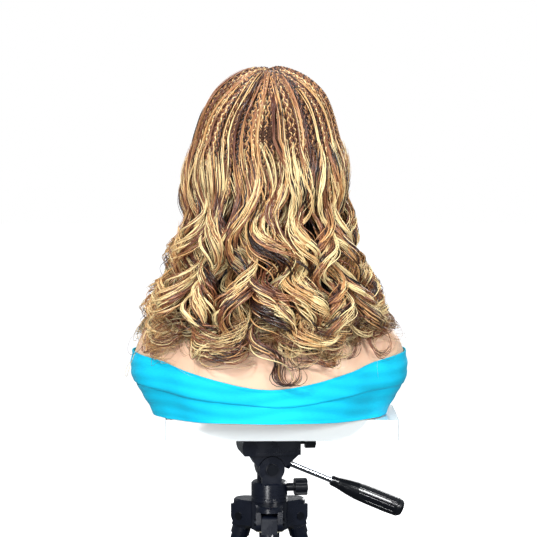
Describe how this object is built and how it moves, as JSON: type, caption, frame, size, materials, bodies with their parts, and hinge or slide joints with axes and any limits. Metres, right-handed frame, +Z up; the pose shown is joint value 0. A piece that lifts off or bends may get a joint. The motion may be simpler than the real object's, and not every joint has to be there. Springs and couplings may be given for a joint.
{
  "type": "mannequin training head",
  "caption": "Shouldered hair-practice bust with braided and curled long hair and a stretch band, on a board, a pan and tilt head and a short tripod.",
  "frame": {"origin": "on the floor, under the centre column's axis", "axes": "+Z up the centre column; the face looks along -Y; +X is the mannequin's left"},
  "size_m": [0.3285, 0.2725, 0.9395],
  "materials": {
    "hub_plastic": "moulded, satin",
    "knob_plastic": "moulded, fine grain",
    "grip_plastic": "moulded, fluted",
    "nylon": "natural nylon",
    "anodised_tube": "anodised, satin",
    "plated_steel": "bright plated",
    "cast_alloy": "powder coated",
    "cork_rubber": "ribbed rubber",
    "foot_rubber": "moulded rubber",
    "white_board": "gloss laminate",
    "inner_plastic": "moulded",
    "foam": "rigid foam",
    "vinyl": "soft satin vinyl",
    "eye": "clear coated",
    "lash": "fibre",
    "cap_net": "knitted net",
    "braid_hair": "plaited hair",
    "loose_hair": "wavy hair",
    "band_fabric": "stretch knit"
  },
  "bodies": {
    "hub": {"hub": "hub_plastic", "column_bush": "nylon", "hinge_pins": "plated_steel"},
    "column_lock": {"column_lock_knob": "knob_plastic"},
    "column": {"column_tube": "anodised_tube", "column_head": "cast_alloy", "column_cap": "knob_plastic"},
    "pan": {"pan_base": "cast_alloy", "tilt_axle": "plated_steel", "tilt_washers": "nylon"},
    "pan_lock": {"pan_lock_knob": "knob_plastic"},
    "tilt": {"tilt_platform": "cast_alloy", "qr_plate": "cast_alloy", "qr_pad": "cork_rubber", "mount_screw": "plated_steel", "bust_board": "white_board", "tee_nut": "plated_steel", "head_peg": "inner_plastic", "peg_screws": "plated_steel"},
    "clamp": {"clamp_knob": "knob_plastic"},
    "handle": {"handle_rod": "plated_steel", "handle_grip": "grip_plastic"},
    "bust": {"vinyl_skin": "vinyl", "head_core": "foam", "base_plate": "inner_plastic", "socket_tube": "inner_plastic", "eyes": "eye", "eyelashes": "lash", "wig_cap": "cap_net", "hair_braids": "braid_hair", "hair_back": "loose_hair", "hair_left": "loose_hair", "hair_right": "loose_hair", "stretch_band": "band_fabric"},
    "leg_a": {"knuckle_a": "hub_plastic", "upper_tube_a": "anodised_tube", "leg_clamp_a": "knob_plastic"},
    "lever_a": {"clamp_lever_a": "knob_plastic"},
    "lower_leg_a": {"lower_tube_a": "anodised_tube", "foot_a": "foot_rubber"},
    "leg_b": {"knuckle_b": "hub_plastic", "upper_tube_b": "anodised_tube", "leg_clamp_b": "knob_plastic"},
    "lever_b": {"clamp_lever_b": "knob_plastic"},
    "lower_leg_b": {"lower_tube_b": "anodised_tube", "foot_b": "foot_rubber"},
    "leg_c": {"knuckle_c": "hub_plastic", "upper_tube_c": "anodised_tube", "leg_clamp_c": "knob_plastic"},
    "lever_c": {"clamp_lever_c": "knob_plastic"},
    "lower_leg_c": {"lower_tube_c": "anodised_tube", "foot_c": "foot_rubber"}
  },
  "joints": [
    {"name": "column_slide", "type": "slide", "parent": "hub", "child": "column", "axis": [0, 0, 1], "range_m": [0, 0.17]},
    {"name": "column_knob_turn", "type": "hinge", "parent": "hub", "child": "column_lock", "pos_m": [0, -0.033, 0.39791], "axis": [0, -1, 0], "range_deg": [-180, 0]},
    {"name": "pan_turn", "type": "hinge", "parent": "column", "child": "pan", "pos_m": [0, 0, 0.42471], "axis": [0, 0, 1], "continuous": true},
    {"name": "pan_knob_turn", "type": "hinge", "parent": "pan", "child": "pan_lock", "pos_m": [-0.03447, -0.00608, 0.43121], "axis": [-0.9848, -0.1736, 0], "range_deg": [-180, 0]},
    {"name": "tilt_nod", "type": "hinge", "parent": "pan", "child": "tilt", "pos_m": [0, 0, 0.45671], "axis": [-0.1736, 0.9848, 0], "range_deg": [-3, 40]},
    {"name": "clamp_knob_turn", "type": "hinge", "parent": "tilt", "child": "clamp", "pos_m": [-0.04341, -0.00765, 0.48771], "axis": [-0.9848, -0.1736, 0], "range_deg": [-180, 0]},
    {"name": "handle_twist", "type": "hinge", "parent": "tilt", "child": "handle", "pos_m": [-0.02413, -0.00425, 0.46071], "axis": [-0.9031, -0.1592, -0.3987], "range_deg": [-180, 0]},
    {"name": "bust_turn", "type": "hinge", "parent": "tilt", "child": "bust", "pos_m": [0, 0, 0.52401], "axis": [0, 0, 1], "continuous": true},
    {"name": "leg_fold_a", "type": "hinge", "parent": "hub", "child": "leg_a", "pos_m": [0, 0.034, 0.39591], "axis": [-1, 0, 0], "range_deg": [0, 15]},
    {"name": "leg_section_a", "type": "slide", "parent": "leg_a", "child": "lower_leg_a", "axis": [0, 0.2924, -0.9563], "range_m": [0, 0.2]},
    {"name": "lever_flip_a", "type": "hinge", "parent": "leg_a", "child": "lever_a", "pos_m": [0, 0.14285, 0.09666], "axis": [-1, 0, 0], "range_deg": [0, 100]},
    {"name": "leg_fold_b", "type": "hinge", "parent": "hub", "child": "leg_b", "pos_m": [-0.02944, -0.017, 0.39591], "axis": [0.5, -0.866, 0], "range_deg": [0, 15]},
    {"name": "leg_section_b", "type": "slide", "parent": "leg_b", "child": "lower_leg_b", "axis": [-0.2532, -0.1462, -0.9563], "range_m": [0, 0.2]},
    {"name": "lever_flip_b", "type": "hinge", "parent": "leg_b", "child": "lever_b", "pos_m": [-0.12371, -0.07142, 0.09666], "axis": [0.5, -0.866, 0], "range_deg": [0, 100]},
    {"name": "leg_fold_c", "type": "hinge", "parent": "hub", "child": "leg_c", "pos_m": [0.02944, -0.017, 0.39591], "axis": [0.5, 0.866, 0], "range_deg": [0, 15]},
    {"name": "leg_section_c", "type": "slide", "parent": "leg_c", "child": "lower_leg_c", "axis": [0.2532, -0.1462, -0.9563], "range_m": [0, 0.2]},
    {"name": "lever_flip_c", "type": "hinge", "parent": "leg_c", "child": "lever_c", "pos_m": [0.12371, -0.07142, 0.09666], "axis": [0.5, 0.866, 0], "range_deg": [0, 100]}
  ]
}
